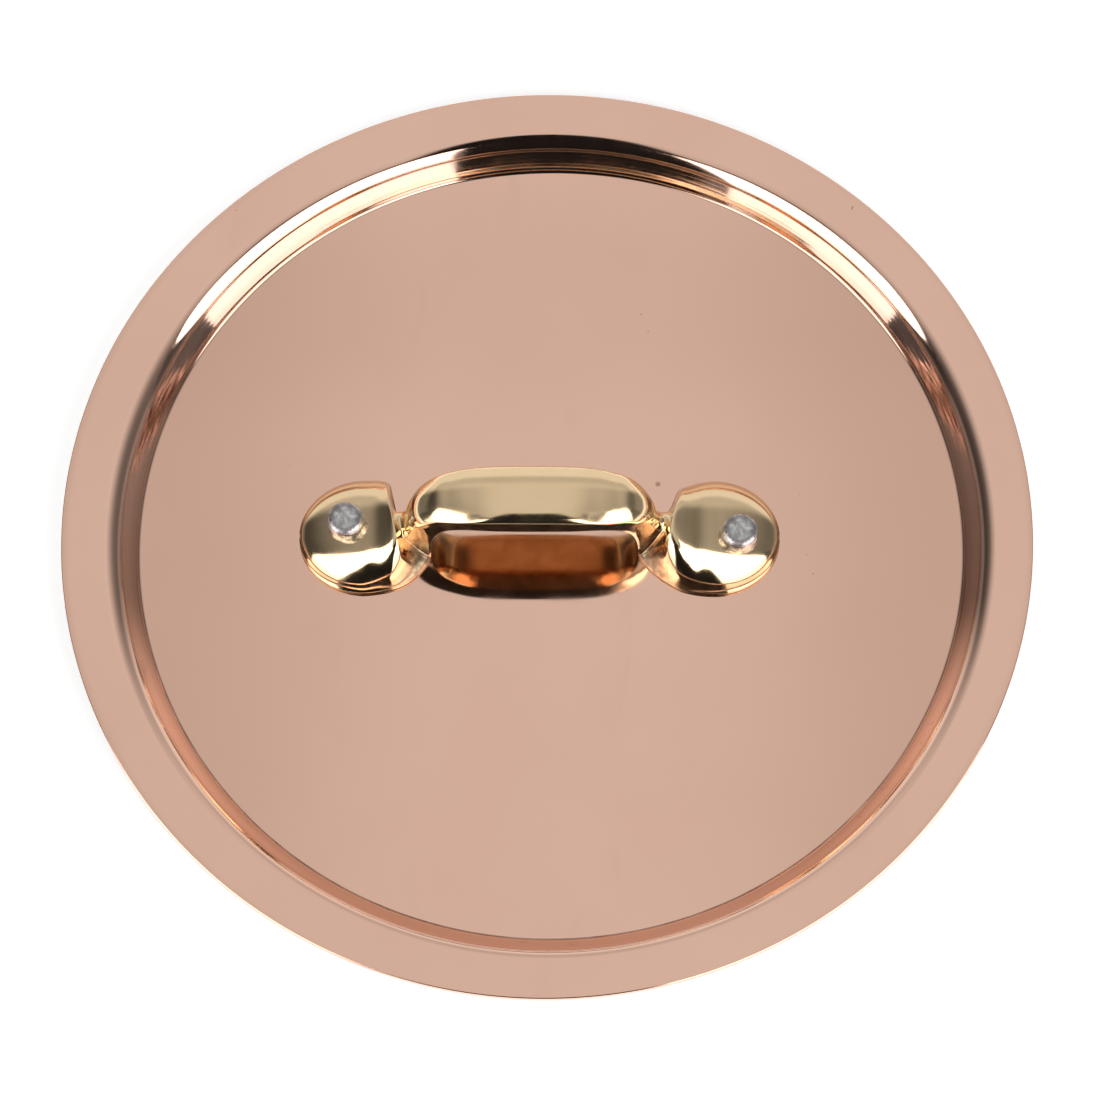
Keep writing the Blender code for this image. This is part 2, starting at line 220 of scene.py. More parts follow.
def layer_profile(slopes_at, top_depth, bottom_depth, rim_radius, edge_top, edge_bottom):
    """Section of one layer of the sheet between two depths below the top face."""
    wall = [(r, FLOOR_TOP + z) for r, z in wall_points(slopes_at)]
    top, bottom = offset_line(wall, top_depth), offset_line(wall, bottom_depth)
    upper, lower = FLANGE_TOP - top_depth, FLANGE_TOP - bottom_depth
    up = math.pi / 2
    rim = bend((rim_radius - edge_top, upper - edge_top), edge_top, up, 0.0, 6)
    rim += bend((rim_radius - edge_bottom, lower + edge_bottom), edge_bottom, 0.0, -up, 5)
    inner = [f * wall[0][0] for f in (0.15, 0.3, 0.45, 0.6, 0.75, 0.88, 0.96)]
    flange = [wall[-1][0] + f * (rim[0][0] - wall[-1][0]) for f in (0.2, 0.4, 0.6, 0.8)]
    profile = [(0.0, FLOOR_TOP - top_depth)] + [(r, FLOOR_TOP - top_depth) for r in inner]
    profile += [tuple(p) for p in top] + [(r, upper) for r in flange] + rim
    profile += [(r, lower) for r in flange[::-1]] + [tuple(p) for p in bottom[::-1]]
    profile += [(r, FLOOR_TOP - bottom_depth) for r in inner[::-1]] + [(0.0, FLOOR_TOP - bottom_depth)]
    return profile


# Sections of the casting from a foot's tip to the middle of the grip, in mm from the casting's
# centre: front crease (x, y, z), rear crease (x, y, z), front base (x, y), rear base (x, y),
# base height, rise of the crown (x, z).
LEFT_SECTIONS = (
    (31.4, 9.9, 2.4, 31.4, 9.9, 2.4, 31.4, 11.0, 31.4, 10.8, 0.0, 0.0, 3.3),
    (29.0, 9.4, 2.8, 29.2, 9.9, 2.8, 28.6, 10.7, 29.1, 10.8, 0.0, 0.1, 3.5),
    (26.6, 8.7, 3.7, 27.6, 9.4, 3.3, 25.6, 10.0, 27.3, 10.3, 0.0, 0.2, 3.6),
    (25.3, 7.6, 4.5, 27.2, 7.8, 3.9, 23.4, 9.1, 26.7, 8.8, 0.0, 0.2, 3.3),
    (24.5, 6.2, 5.2, 27.1, 5.8, 4.6, 21.6, 7.7, 26.4, 6.6, 0.0, 0.2, 2.7),
    (24.3, 4.6, 5.6, 26.8, 4.2, 5.1, 20.4, 6.3, 25.9, 4.9, 0.0, 0.2, 2.0),
    (24.2, 3.2, 5.9, 25.9, 3.0, 5.5, 19.7, 5.2, 24.6, 4.1, 0.0, 0.3, 1.3),
    (24.0, 2.5, 5.9, 24.6, 2.6, 6.0, 19.5, 4.7, 22.4, 4.1, 0.3, 0.4, 0.9),
    (23.6, 2.5, 6.7, 23.8, 2.6, 6.7, 19.4, 4.5, 19.8, 4.4, 2.2, 0.6, 0.7),
    (23.2, 2.8, 8.2, 23.2, 2.8, 8.2, 19.2, 4.4, 19.2, 4.4, 4.4, 0.8, 0.5),
    (22.7, 3.2, 10.2, 22.7, 3.2, 10.0, 18.9, 4.2, 18.9, 4.2, 6.8, 0.9, 0.5),
    (22.0, 3.6, 12.2, 22.0, 3.6, 12.0, 18.3, 4.2, 18.3, 4.2, 9.0, 1.0, 0.6),
    (21.1, 3.9, 13.9, 21.1, 3.9, 13.6, 17.3, 4.3, 17.3, 4.3, 10.9, 1.0, 0.8),
    (19.8, 4.3, 15.3, 19.8, 4.2, 14.9, 15.9, 4.5, 15.9, 4.5, 12.4, 0.8, 1.0),
    (17.9, 4.7, 16.7, 17.9, 4.6, 16.1, 14.3, 4.8, 14.3, 4.8, 13.4, 0.5, 1.2),
    (15.6, 5.1, 17.45, 15.6, 5.2, 16.5, 12.7, 5.0, 12.7, 5.0, 13.9, 0.2, 1.3),
    (12.5, 5.5, 18.2, 12.5, 5.6, 17.0, 10.8, 5.2, 10.8, 5.2, 14.2, 0.1, 1.3),
    (8.0, 5.7, 18.6, 8.0, 5.95, 17.2, 7.4, 5.4, 7.4, 5.4, 14.3, 0.0, 1.55),
)
RIGHT_SECTIONS = (
    (31.4, 9.9, 2.7, 31.4, 9.8, 2.6, 31.4, 11.0, 31.4, 10.8, 0.0, 0.0, 3.3),
    (28.8, 9.7, 3.0, 29.2, 9.5, 2.9, 28.6, 10.8, 29.0, 10.5, 0.0, 0.1, 3.6),
    (26.6, 9.3, 3.6, 27.2, 8.9, 3.2, 25.4, 10.1, 26.9, 9.9, 0.0, 0.2, 3.9),
    (24.4, 8.4, 4.4, 25.6, 8.2, 3.8, 22.8, 9.0, 25.2, 9.1, 0.0, 0.2, 3.9),
    (22.9, 6.7, 5.2, 24.9, 6.5, 4.5, 20.6, 7.6, 24.3, 7.2, 0.0, 0.2, 3.5),
    (22.3, 4.8, 5.9, 24.5, 4.5, 5.3, 18.9, 6.0, 23.6, 5.4, 0.0, 0.2, 2.7),
    (22.1, 3.1, 6.5, 23.7, 2.9, 6.1, 18.1, 5.0, 22.6, 4.2, 0.0, 0.3, 1.7),
    (21.9, 2.0, 6.7, 22.4, 2.0, 6.7, 17.9, 4.6, 20.6, 4.1, 0.3, 0.4, 1.0),
    (21.4, 1.8, 7.2, 21.5, 1.8, 7.2, 17.8, 4.4, 18.2, 4.3, 2.4, 0.6, 0.7),
    (20.7, 1.9, 8.1, 20.7, 1.9, 8.0, 17.7, 4.2, 17.7, 4.2, 4.6, 0.8, 0.5),
    (20.1, 2.3, 9.8, 20.1, 2.3, 9.6, 17.4, 4.0, 17.4, 4.0, 6.8, 0.9, 0.5),
    (19.6, 2.8, 11.8, 19.6, 2.8, 11.6, 16.8, 4.0, 16.8, 4.0, 9.0, 1.0, 0.6),
    (18.8, 3.4, 13.5, 18.8, 3.3, 13.2, 15.9, 4.2, 15.9, 4.2, 10.9, 1.0, 0.8),
    (17.6, 4.0, 15.1, 17.6, 3.9, 14.7, 14.5, 4.5, 14.5, 4.5, 12.4, 0.8, 1.0),
    (15.8, 4.5, 16.6, 15.8, 4.5, 16.0, 12.8, 4.8, 12.8, 4.8, 13.4, 0.5, 1.2),
    (13.6, 5.0, 17.3, 13.6, 5.1, 16.4, 11.2, 5.0, 11.2, 5.0, 13.9, 0.2, 1.3),
    (10.6, 5.5, 18.0, 10.6, 5.6, 16.9, 9.0, 5.2, 9.0, 5.2, 14.2, 0.1, 1.3),
    (6.0, 5.7, 18.5, 6.0, 5.95, 17.2, 5.4, 5.4, 5.4, 5.4, 14.3, 0.0, 1.55),
)
GRIP_MIDDLE = (-1.5, 5.75, 18.7, -1.5, 6.0, 17.3, -1.5, 5.45, -1.5, 5.45, 14.3, 0.0, 1.5)
MIRROR = (-1, 1, 1, -1, 1, 1, -1, 1, -1, 1, 1, -1, 1)     # turns a section to the other side
FOOT_TIP = 42.9
FOOT_MIDDLE = 31.4
FOOT_ROWS = 9
TIP_START = math.radians(4.0)   # the first section behind the rounded tip
TIP_EDGE = 1.5                  # height of the crease at the tip
RIDGE_POWER = 0.62              # below 1 the ridge rises fast at the tip and then slows
UNDER_BULGE = 1.0               # of the grip's rounded underside
UNDER_POWER = 3.5
UNDER_STEPS = 17
BASE_FLARE = 0.35               # the base stands out this far past the crease at the tip
ROW_STEPS = 7
CROWN_STEPS = 30
CROWN_EVEN = 0.4                # share of even spacing; the rest crowds towards the creases
SIDE_STEPS = 8
CREASE_ROUND = 0.32
FOOT_EDGE = 0.7                 # height of the upright edge round the feet
HOLLOW = 0.25                   # how far the feet's side faces curve in
FOOT_Y, GRIP_Y = 0.43, 1.4      # the grip stands a little behind the line of the feet
HANDLE_X = -1.35

# Ranges over which one stretch of the casting turns into the next
BAR_ENDS = (4.0, 13.0)          # distance from the grip's middle
FOOT_STARTS = (21.0, 26.0)      # distance from the casting's centre
NECK = (17.0, 27.0)             # distance from the casting's centre
LEG_RISE = (2.0, 13.0)          # height of the base: flat under the foot, round under the grip
EDGE_RISE = (0.0, 3.0)          # height of the base: the upright edge fades
HOLLOW_RISE = (4.0, 9.0)        # height of the base: the hollow fades

# How the crown falls to a crease: a higher power keeps it flat longer and then drops it faster
CROWN_POWER = 2.2
FRONT_POWER = {"foot": 1.5, "bar": 3.4}     # added on the front half
REAR_POWER = {"foot": 1.2, "bar": -0.1}     # added on the rear half


def foot_rows(first):
    """Rows from the tip of a foot back to its widest section."""
    rows = []
    length = FOOT_TIP - FOOT_MIDDLE
    for i in range(FOOT_ROWS):
        angle = TIP_START + (math.pi / 2 - TIP_START) * i / FOOT_ROWS
        c, s = math.cos(angle), math.sin(angle)
        x, back = FOOT_MIDDLE + length * c, 1.0 - c
        front = TIP_EDGE + (first[2] - TIP_EDGE) * back
        rear = TIP_EDGE + (first[5] - TIP_EDGE) * back
        ridge = TIP_EDGE + (first[2] + first[12] - TIP_EDGE) * back**RIDGE_POWER
        base = x + BASE_FLARE * c
        rows.append((x, first[1] * s, front, x, first[4] * s, rear,
                     base, first[7] * s, base, first[9] * s, 0.0, 0.0, ridge - front))
    return rows


def spline_rows(rows, steps):
    """Catmull-Rom curve through the rows."""
    keys = np.array([rows[0], *rows, rows[-1]])
    keys[0] = 2 * keys[1] - keys[2]
    keys[-1] = 2 * keys[-2] - keys[-3]
    out = []
    for a, b, c, d in zip(keys, keys[1:], keys[2:], keys[3:]):
        for i in range(steps):
            t = i / steps
            out.append(0.5 * (2 * b + (c - a) * t + (2 * a - 5 * b + 4 * c - d) * t**2
                              + (3 * b - a - 3 * c + d) * t**3))
    return out + [keys[-2]]


def corner(before, point, after, steps=4):
    """Inner points of a short curve that rounds a corner of a section."""
    places = [i / (steps + 1) for i in range(1, steps + 1)]
    return [(1 - t) ** 2 * before + 2 * t * (1 - t) * point + t * t * after for t in places]


def crown_point(row, a):
    """Point of the top face of a section: a is -1 at the front crease and 1 at the rear one."""
    xf, yf, zf, xr, yr, zr, _, _, _, _, _, rise_x, rise_z = row
    edge, other = ((xf, -yf, zf), (xr, yr, zr)) if a < 0 else ((xr, yr, zr), (xf, -yf, zf))
    bar = 1.0 - smooth_step(abs((xf + xr) / 2 - GRIP_MIDDLE[0]), *BAR_ENDS)
    foot = smooth_step(abs(xf + xr) / 2, *FOOT_STARTS)
    more = FRONT_POWER if a < 0 else REAR_POWER
    fall = abs(a) ** (CROWN_POWER + more["foot"] * foot + more["bar"] * bar)
    top = (zf + zr) / 2 + rise_z
    x = (xf + xr) / 2 + abs(a) * (edge[0] - other[0]) / 2 + rise_x * (1.0 - fall)
    return np.array((x, edge[1] * abs(a), top + (edge[2] - top) * fall))


def side_face(base, crease, base_height):
    """Points up a front or rear face, from its base to just below the crease."""
    rise = crease - base
    height = np.linalg.norm(rise)
    stop = crease - rise / height * min(CREASE_ROUND, 0.4 * height)
    knee = base + np.array((0.0, 0.0, FOOT_EDGE)) * (1.0 - smooth_step(base_height, *EDGE_RISE))
    hollow = HOLLOW * (1.0 - smooth_step(base_height, *HOLLOW_RISE))
    pull = np.array((stop[0], stop[1], knee[2])) * hollow + (stop + knee) / 2 * (1.0 - hollow)
    places = np.linspace(0.0, 1.0, SIDE_STEPS + 1)
    return [base] + [(1 - t) ** 2 * knee + 2 * t * (1 - t) * pull + t * t * stop for t in places]


def section(row):
    """One closed ring: underside, rear face, crowned top, front face."""
    xf, yf, zf, xr, yr, zr, xbf, ybf, xbr, ybr, zb, _, _ = row
    front, rear = np.array((xf, -yf, zf)), np.array((xr, yr, zr))
    front_base, rear_base = np.array((xbf, -ybf, zb)), np.array((xbr, ybr, zb))
    reach = min(0.3, CREASE_ROUND / (0.5 * (yf + yr)))
    even = np.linspace(-1.0, 1.0, CROWN_STEPS + 1)
    places = (1.0 - CROWN_EVEN) * np.sin(even * math.pi / 2) + CROWN_EVEN * even
    crown = [crown_point(row, a) for a in places * (1.0 - reach)]
    rear_face, front_face = side_face(rear_base, rear, zb), side_face(front_base, front, zb)
    under = (front_base + rear_base - front - rear) / 2
    under *= UNDER_BULGE * smooth_step(zb, *LEG_RISE) / np.linalg.norm(under)
    across = rear_base - front_base
    ring = [front_base + across * (t + 1) / 2 + under * (1 - abs(t) ** UNDER_POWER)
            for t in np.linspace(-0.98, 0.98, UNDER_STEPS)]
    ring += rear_face + corner(rear_face[-1], rear, crown[-1])
    return ring + crown[::-1] + corner(crown[0], front, front_face[-1]) + front_face[::-1]


def placed_section(row):
    """The section in metres, at its place on the lid."""
    placed = []
    for x, y, z in section(row):
        middle = GRIP_Y + (FOOT_Y - GRIP_Y) * smooth_step(abs(x), *NECK)
        placed.append(((x + HANDLE_X) * MM, (y + middle) * MM, z * MM + FLOOR_TOP))
    return placed


def handle_mesh():
    """The casting, lofted from the tip of the right foot to the tip of the left one."""
    right = foot_rows(RIGHT_SECTIONS[0]) + list(RIGHT_SECTIONS)
    left = foot_rows(LEFT_SECTIONS[0]) + list(LEFT_SECTIONS)
    keys = [*right, GRIP_MIDDLE, *(np.multiply(row, MIRROR) for row in left[::-1])]
    rings = [placed_section(row) for row in spline_rows(keys, ROW_STEPS)]
    bm = bmesh.new()
    loops = [[bm.verts.new(p) for p in ring] for ring in rings]
    for near, far in zip(loops, loops[1:]):
        for i in range(len(near)):
            j = (i + 1) % len(near)
            bm.faces.new((near[i], near[j], far[j], far[i]))
    for end in (loops[0], loops[-1]):
        count = len(end)
        middle = bm.verts.new(sum((v.co for v in end), Vector()) / count)
        for i in range(count):
            bm.faces.new((end[i], end[(i + 1) % count], middle))
    bmesh.ops.recalc_face_normals(bm, faces=bm.faces)
    mesh = bpy.data.meshes.new("handle_casting")
    bm.to_mesh(mesh)
    bm.free()
    return mesh


def rivet_profile():
    """Section of a rivet from the top of its stub down to the underside of its head."""
    low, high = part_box("rivet_left")
    head_radius = (high.x - low.x) / 2
    shoulder, brim = RIVET_SHANK - RIVET_SHOULDER, head_radius - RIVET_BRIM
    up = math.pi / 2
    profile = [(0.0, high.z)] + [(RIVET_SHANK * f, high.z) for f in (0.2, 0.4)]
    profile += bend((shoulder, high.z - RIVET_SHOULDER), RIVET_SHOULDER, up, 0.0, 8)
    profile += [(RIVET_SHANK, high.z - RIVET_STUB), (RIVET_SHANK, RIVET_HEAD_HEIGHT)]
    profile += bend((brim, RIVET_HEAD_HEIGHT - RIVET_BRIM), RIVET_BRIM, up, 0.0, 6)
    profile += bend((brim, RIVET_BRIM), RIVET_BRIM, 0.0, -up, 6)
    return profile + [(head_radius * 0.5, 0.0), (0.0, 0.0)]


# ---------------------------------------------------------------- materials

def math_node(tree, operation, *inputs):
    """Output of a Math node whose inputs are numbers or sockets."""
    node = tree.nodes.new("ShaderNodeMath")
    node.operation = operation
    for socket, value in zip(node.inputs, inputs):
        if isinstance(value, (int, float)):
            socket.default_value = value
        else:
            tree.links.new(value, socket)
    return node.outputs[0]


def ramp(tree, value, low, high, start=0.0, end=1.0):
    """A smooth step of a value between two limits."""
    node = tree.nodes.new("ShaderNodeMapRange")
    node.interpolation_type = "SMOOTHSTEP"
    tree.links.new(value, node.inputs["Value"])
    for name, number in (("From Min", low), ("From Max", high), ("To Min", start), ("To Max", end)):
        node.inputs[name].default_value = number
    return node.outputs[0]


def product(tree, first, *others):
    for value in others:
        first = math_node(tree, "MULTIPLY", first, value)
    return first


def ring_mask(tree, radius, inner, outer):
    """1 between two smooth edges, each given as a range of radii in mm."""
    rise = ramp(tree, radius, inner[0] * MM, inner[1] * MM)
    return product(tree, rise, ramp(tree, radius, outer[0] * MM, outer[1] * MM, 1.0, 0.0))


def split_place(tree, place):
    """The x, y and z of a position."""
    split = tree.nodes.new("ShaderNodeSeparateXYZ")
    tree.links.new(place, split.inputs[0])
    return split.outputs


def object_place(tree):
    return tree.nodes.new("ShaderNodeTexCoord").outputs["Object"]


def distance_from(tree, place, centre):
    """Distance of the shaded point from a centre, measured in plan."""
    node = tree.nodes.new("ShaderNodeMapping")
    node.vector_type = "POINT"
    node.inputs["Location"].default_value = (-centre[0], -centre[1], 0.0)
    node.inputs["Scale"].default_value = (1.0, 1.0, 0.0)
    tree.links.new(place, node.inputs["Vector"])
    length = tree.nodes.new("ShaderNodeVectorMath")
    length.operation = "LENGTH"
    tree.links.new(node.outputs[0], length.inputs[0])
    return length.outputs["Value"]


def noise(tree, place, size, detail=3.0, roughness=0.5, stretch=(1.0, 1.0, 1.0), distortion=0.0):
    """Noise from 0 to 1 whose features are about `size` metres wide."""
    mapping = tree.nodes.new("ShaderNodeMapping")
    mapping.inputs["Scale"].default_value = tuple(s / size for s in stretch)
    tree.links.new(place, mapping.inputs["Vector"])
    node = tree.nodes.new("ShaderNodeTexNoise")
    node.inputs["Scale"].default_value = 1.0
    node.inputs["Detail"].default_value = detail
    node.inputs["Roughness"].default_value = roughness
    node.inputs["Distortion"].default_value = distortion
    tree.links.new(mapping.outputs[0], node.inputs["Vector"])
    return node.outputs[0]


def ring_noise(tree, radius, size, detail=4.0):
    """Noise that only varies with the distance from an axis: turning marks."""
    node = tree.nodes.new("ShaderNodeTexNoise")
    node.noise_dimensions = "1D"
    node.inputs["Scale"].default_value = 1.0
    node.inputs["Detail"].default_value = detail
    tree.links.new(math_node(tree, "MULTIPLY", radius, 1.0 / size), node.inputs["W"])
    return node.outputs[0]


def blend(tree, amount, first, second):
    """Colour between two colours, each a socket or a tuple."""
    node = tree.nodes.new("ShaderNodeMix")
    node.data_type = "RGBA"
    tree.links.new(amount, node.inputs[0])
    for socket, value in zip(node.inputs[6:8], (first, second)):
        if isinstance(value, tuple):
            socket.default_value = (*value, 1.0)
        else:
            tree.links.new(value, socket)
    return node.outputs[2]


def bump(tree, height, depth, normal=None):
    """Bump of a depth in metres, on top of an earlier one if given."""
    node = tree.nodes.new("ShaderNodeBump")
    node.inputs["Strength"].default_value = 1.0
    node.inputs["Distance"].default_value = depth
    tree.links.new(height, node.inputs["Height"])
    if normal:
        tree.links.new(normal, node.inputs["Normal"])
    return node.outputs[0]


def facing(tree, axis):
    """One component of the surface's own direction."""
    return split_place(tree, tree.nodes.new("ShaderNodeNewGeometry").outputs["Normal"])[axis]


def principled(name):
    """A new metal material with its node tree and shader."""
    mat = bpy.data.materials.new(name)
    mat.use_nodes = True
    tree = mat.node_tree
    shader = tree.nodes["Principled BSDF"]
    shader.inputs["Metallic"].default_value = 1.0
    return mat, tree, shader


def paint_floor_shade(tree, colour, x, y, radius):
    """Painted shade: the dish floor is a little darker and browner towards its sides and along a band
    behind the handle, for the dimmer reflections there.
    """
    # painted shade: the floor's colour is darkened towards a browner tone at its sides and along the
    # band
    sides = ramp(tree, math_node(tree, "ABSOLUTE", x), 18 * MM, 72 * MM, 0.0, 0.42)
    off_band = math_node(tree, "ABSOLUTE", math_node(tree, "ADD", y, -48 * MM))
    shade = math_node(tree, "ADD", sides, ramp(tree, off_band, 5 * MM, 32 * MM, 0.14, 0.0))
    on_floor = ramp(tree, radius, 75 * MM, 76 * MM, 1.0, 0.0)
    return blend(tree, product(tree, shade, on_floor), colour, (0.62, 0.38, 0.28))


def mark_copper(tree, colour, place):
    """Pin-head pits, one small stain and faint smears."""
    pits = ramp(tree, noise(tree, place, 1.1 * MM, 1.0), 0.80, 0.84)
    rare = ramp(tree, noise(tree, place, 14 * MM, 1.0), 0.52, 0.60)
    colour = blend(tree, product(tree, pits, rare), colour, (0.50, 0.26, 0.19))
    stain = ramp(tree, distance_from(tree, place, STAIN_PLACE), 0.30 * MM, 0.62 * MM, 0.55, 0.0)
    colour = blend(tree, stain, colour, (0.25, 0.10, 0.07))
    streaks = noise(tree, place, 9 * MM, 3.0, stretch=(1.0, 0.35, 1.0), distortion=0.6)
    smear = ramp(tree, streaks, 0.60, 0.78)
    return blend(tree, product(tree, smear, 0.12), colour, (0.72, 0.46, 0.36))


def nick_and_shade_rim(tree, colour, place, trimmed):
    """Dark nicks along the cut rim, and painted shade: they are kept to the front right, where the cut
    edge shows a dark shaded line.
    """
    slant = tree.nodes.new("ShaderNodeVectorMath")
    slant.operation = "DOT_PRODUCT"
    slant.inputs[1].default_value = (0.75, -0.66, 0.0)
    tree.links.new(place, slant.inputs[0])
    # painted shade: the nicks are kept to the front right of the rim
    shaded_side = ramp(tree, slant.outputs["Value"], 35 * MM, 75 * MM)
    nicks = ramp(tree, noise(tree, place, 2.2 * MM, 4.0), 0.50, 0.68)
    return blend(tree, product(tree, nicks, shaded_side, trimmed, 0.45), colour, (0.42, 0.27, 0.22))


def shade_foot_and_tick_wall(tree, colour, place, y, radius):
    """Painted shade: a dark line in the corner at the wall's foot, darker at the near side; and small
    dark ticks on the near wall.
    """
    # painted shade in the corner at the foot of the wall, strongest at the near side
    near = ramp(tree, y, -45 * MM, 10 * MM, 0.85, 0.25)
    uneven = ramp(tree, noise(tree, place, 6 * MM, 5.0), 0.25, 0.65, 0.55, 1.0)
    foot = ring_mask(tree, radius, (73.95, 74.10), (74.25, 74.42))
    colour = blend(tree, product(tree, foot, near, uneven), colour, (0.20, 0.10, 0.075))
    ticks = ramp(tree, noise(tree, place, 1.3 * MM, 5.0, roughness=0.7), 0.60, 0.70)
    groups = ramp(tree, noise(tree, place, 22 * MM, 1.0), 0.50, 0.62, 0.0, 0.55)
    near = ramp(tree, y, -40 * MM, -15 * MM, 1.0, 0.0)
    on_wall = ring_mask(tree, radius, (74.0, 74.5), (76.6, 77.2))
    return blend(tree, product(tree, ticks, groups, near, on_wall), colour, (0.30, 0.14, 0.09))


def copper_material():
    """Mirror-polished copper with faint clouds, turning marks and scratches, pits, a stain and rim
    nicks, and painted shade on the floor, at the wall's foot and along the front-right rim.
    """
    mat, tree, shader = principled("polished_copper")
    place = object_place(tree)
    x, y, _ = split_place(tree, place)
    radius = distance_from(tree, place, DISH_SHIFT)
    trimmed = ramp(tree, radius, 86.2 * MM, 86.9 * MM)
    colour = blend(tree, noise(tree, place, 30 * MM, 2.0), (0.90, 0.57, 0.43), (0.955, 0.625, 0.485))
    colour = paint_floor_shade(tree, colour, x, y, radius)
    colour = mark_copper(tree, colour, place)
    colour = nick_and_shade_rim(tree, colour, place, trimmed)
    colour = shade_foot_and_tick_wall(tree, colour, place, y, radius)
    tree.links.new(colour, shader.inputs["Base Color"])
    scratches = noise(tree, place, 0.5 * MM, 4.0, stretch=(0.05, 1.0, 1.0))
    rough = ramp(tree, noise(tree, place, 6 * MM, 3.0), 0.3, 0.8, 0.035, 0.085)
    rough = math_node(tree, "MULTIPLY_ADD", scratches, 0.03, rough)
    rough = math_node(tree, "MULTIPLY_ADD", trimmed, 0.08, rough)
    tree.links.new(rough, shader.inputs["Roughness"])
    lines = bump(tree, ring_noise(tree, radius, 0.35 * MM), 0.25e-6)
    waves = bump(tree, noise(tree, place, 7 * MM, 1.0), 2.5e-6, lines)
    tree.links.new(waves, shader.inputs["Normal"])
    return mat


def brass_material():
    """Cast brass, polished where it can be reached, with painted shade in the necks, low down by the
    copper and on the faces that look down, which are also dull.
    """
    mat, tree, shader = principled("polished_brass")
    place = object_place(tree)
    x, _, z = split_place(tree, place)
    above_floor = math_node(tree, "SUBTRACT", z, FLOOR_TOP)
    colour = blend(tree, noise(tree, place, 5 * MM, 3.0), (0.89, 0.655, 0.385), (0.945, 0.72, 0.45))
    specks = ramp(tree, noise(tree, place, 0.55 * MM, 2.0), 0.70, 0.78)
    colour = blend(tree, product(tree, specks, 0.5), colour, (0.42, 0.27, 0.13))

    # painted shade and dull tarnish on the faces that look down
    under = ramp(tree, facing(tree, 2), -0.55, -0.05, 1.0, 0.0)
    patches = ramp(tree, noise(tree, place, 3.2 * MM, 4.0, distortion=0.4), 0.25, 0.75, 0.80, 1.0)
    dull_and_shade = product(tree, under, patches)
    colour = blend(tree, dull_and_shade, colour, (0.40, 0.25, 0.10))

    # painted shade on steep faces within a few mm of the copper, which are also rougher
    low = ramp(tree, above_floor, 0.2 * MM, 3.6 * MM, 1.0, 0.0)
    steep = ramp(tree, facing(tree, 2), 0.25, 0.75, 1.0, 0.0)
    base_shade = product(tree, low, steep, ramp(tree, noise(tree, place, 2 * MM, 4.0), 0.3, 0.7, 0.2, 0.75))
    colour = blend(tree, base_shade, colour, (0.50, 0.32, 0.19))

    # painted shade in the necks, where the feet meet the grip's legs; these places are also rougher
    from_middle = math_node(tree, "ABSOLUTE", math_node(tree, "ADD", x, -HANDLE_X * MM))
    neck = ramp(tree, from_middle, 21.5 * MM, 25.5 * MM, 1.0, 0.0)
    neck = product(tree, neck, ramp(tree, above_floor, 2.5 * MM, 7.5 * MM, 1.0, 0.0))
    neck_shade = product(tree, neck, ramp(tree, noise(tree, place, 1.4 * MM, 4.0), 0.3, 0.65, 0.35, 0.9))
    colour = blend(tree, neck_shade, colour, (0.27, 0.185, 0.125))
    tree.links.new(colour, shader.inputs["Base Color"])

    brushed = noise(tree, place, 0.28 * MM, 4.0, stretch=(1.0, 0.06, 0.3))
    rough = ramp(tree, noise(tree, place, 2.5 * MM, 3.0), 0.3, 0.8, 0.07, 0.13)
    for mask, more in ((brushed, 0.05), (dull_and_shade, 0.08), (neck_shade, 0.16), (base_shade, 0.12)):
        rough = math_node(tree, "MULTIPLY_ADD", mask, more, rough)
    tree.links.new(rough, shader.inputs["Roughness"])
    lines = bump(tree, brushed, 0.8e-6)
    waves = bump(tree, noise(tree, place, 1.6 * MM, 2.0), 5.0e-6, lines)
    tree.links.new(waves, shader.inputs["Normal"])
    return mat


def rivet_material():
    """Grey rivet metal, peened: mottled, dented, darker in the hollows and round the top's edge."""
    mat, tree, shader = principled("rivet_metal")
    place = object_place(tree)
    dents = noise(tree, place, 1.5 * MM, 3.0)
    mottle = noise(tree, place, 0.9 * MM, 5.0, roughness=0.65)
    colour = blend(tree, ramp(tree, mottle, 0.3, 0.7), (0.36, 0.34, 0.34), (0.78, 0.76, 0.76))
    colour = blend(tree, ramp(tree, dents, 0.3, 0.48, 0.55, 0.0), colour, (0.22, 0.20, 0.20))
    rim = ring_mask(tree, distance_from(tree, place, (0.0, 0.0)), (1.7, 2.3), (2.6, 2.9))
    colour = blend(tree, product(tree, rim, 0.6), colour, (0.20, 0.18, 0.18))
    tree.links.new(colour, shader.inputs["Base Color"])
    tree.links.new(ramp(tree, mottle, 0.3, 0.7, 0.5, 0.26), shader.inputs["Roughness"])
    coarse = bump(tree, dents, 0.16 * MM)
    fine = bump(tree, mottle, 0.03 * MM, coarse)
    tree.links.new(fine, shader.inputs["Normal"])
    return mat


def lining_material():
    """Steel lining, brushed in circles."""
    mat, tree, shader = principled("steel_lining")
    place = object_place(tree)
    radius = distance_from(tree, place, DISH_SHIFT)
    marks = ring_noise(tree, radius, 0.5 * MM)
    cloud = noise(tree, place, 18 * MM, 3.0)
    colour = blend(tree, marks, (0.52, 0.51, 0.49), (0.68, 0.67, 0.65))
    colour = blend(tree, product(tree, cloud, 0.3), colour, (0.45, 0.44, 0.42))
    tree.links.new(colour, shader.inputs["Base Color"])
    tree.links.new(ramp(tree, marks, 0.2, 0.8, 0.24, 0.40), shader.inputs["Roughness"])
    tree.links.new(bump(tree, marks, 2.0e-6), shader.inputs["Normal"])
    return mat


# ---------------------------------------------------------------- object

def sheet_mesh(name, *layer):
    """One layer of the lid, whose wall is a little less steep at the far side."""
    sections = [layer_profile(slopes, *layer) for slopes in (WALL_SLOPES, FAR_WALL_SLOPES)]
    return turned_mesh(name, sections[0], TURN_STEPS, dish_shift, sections[1])


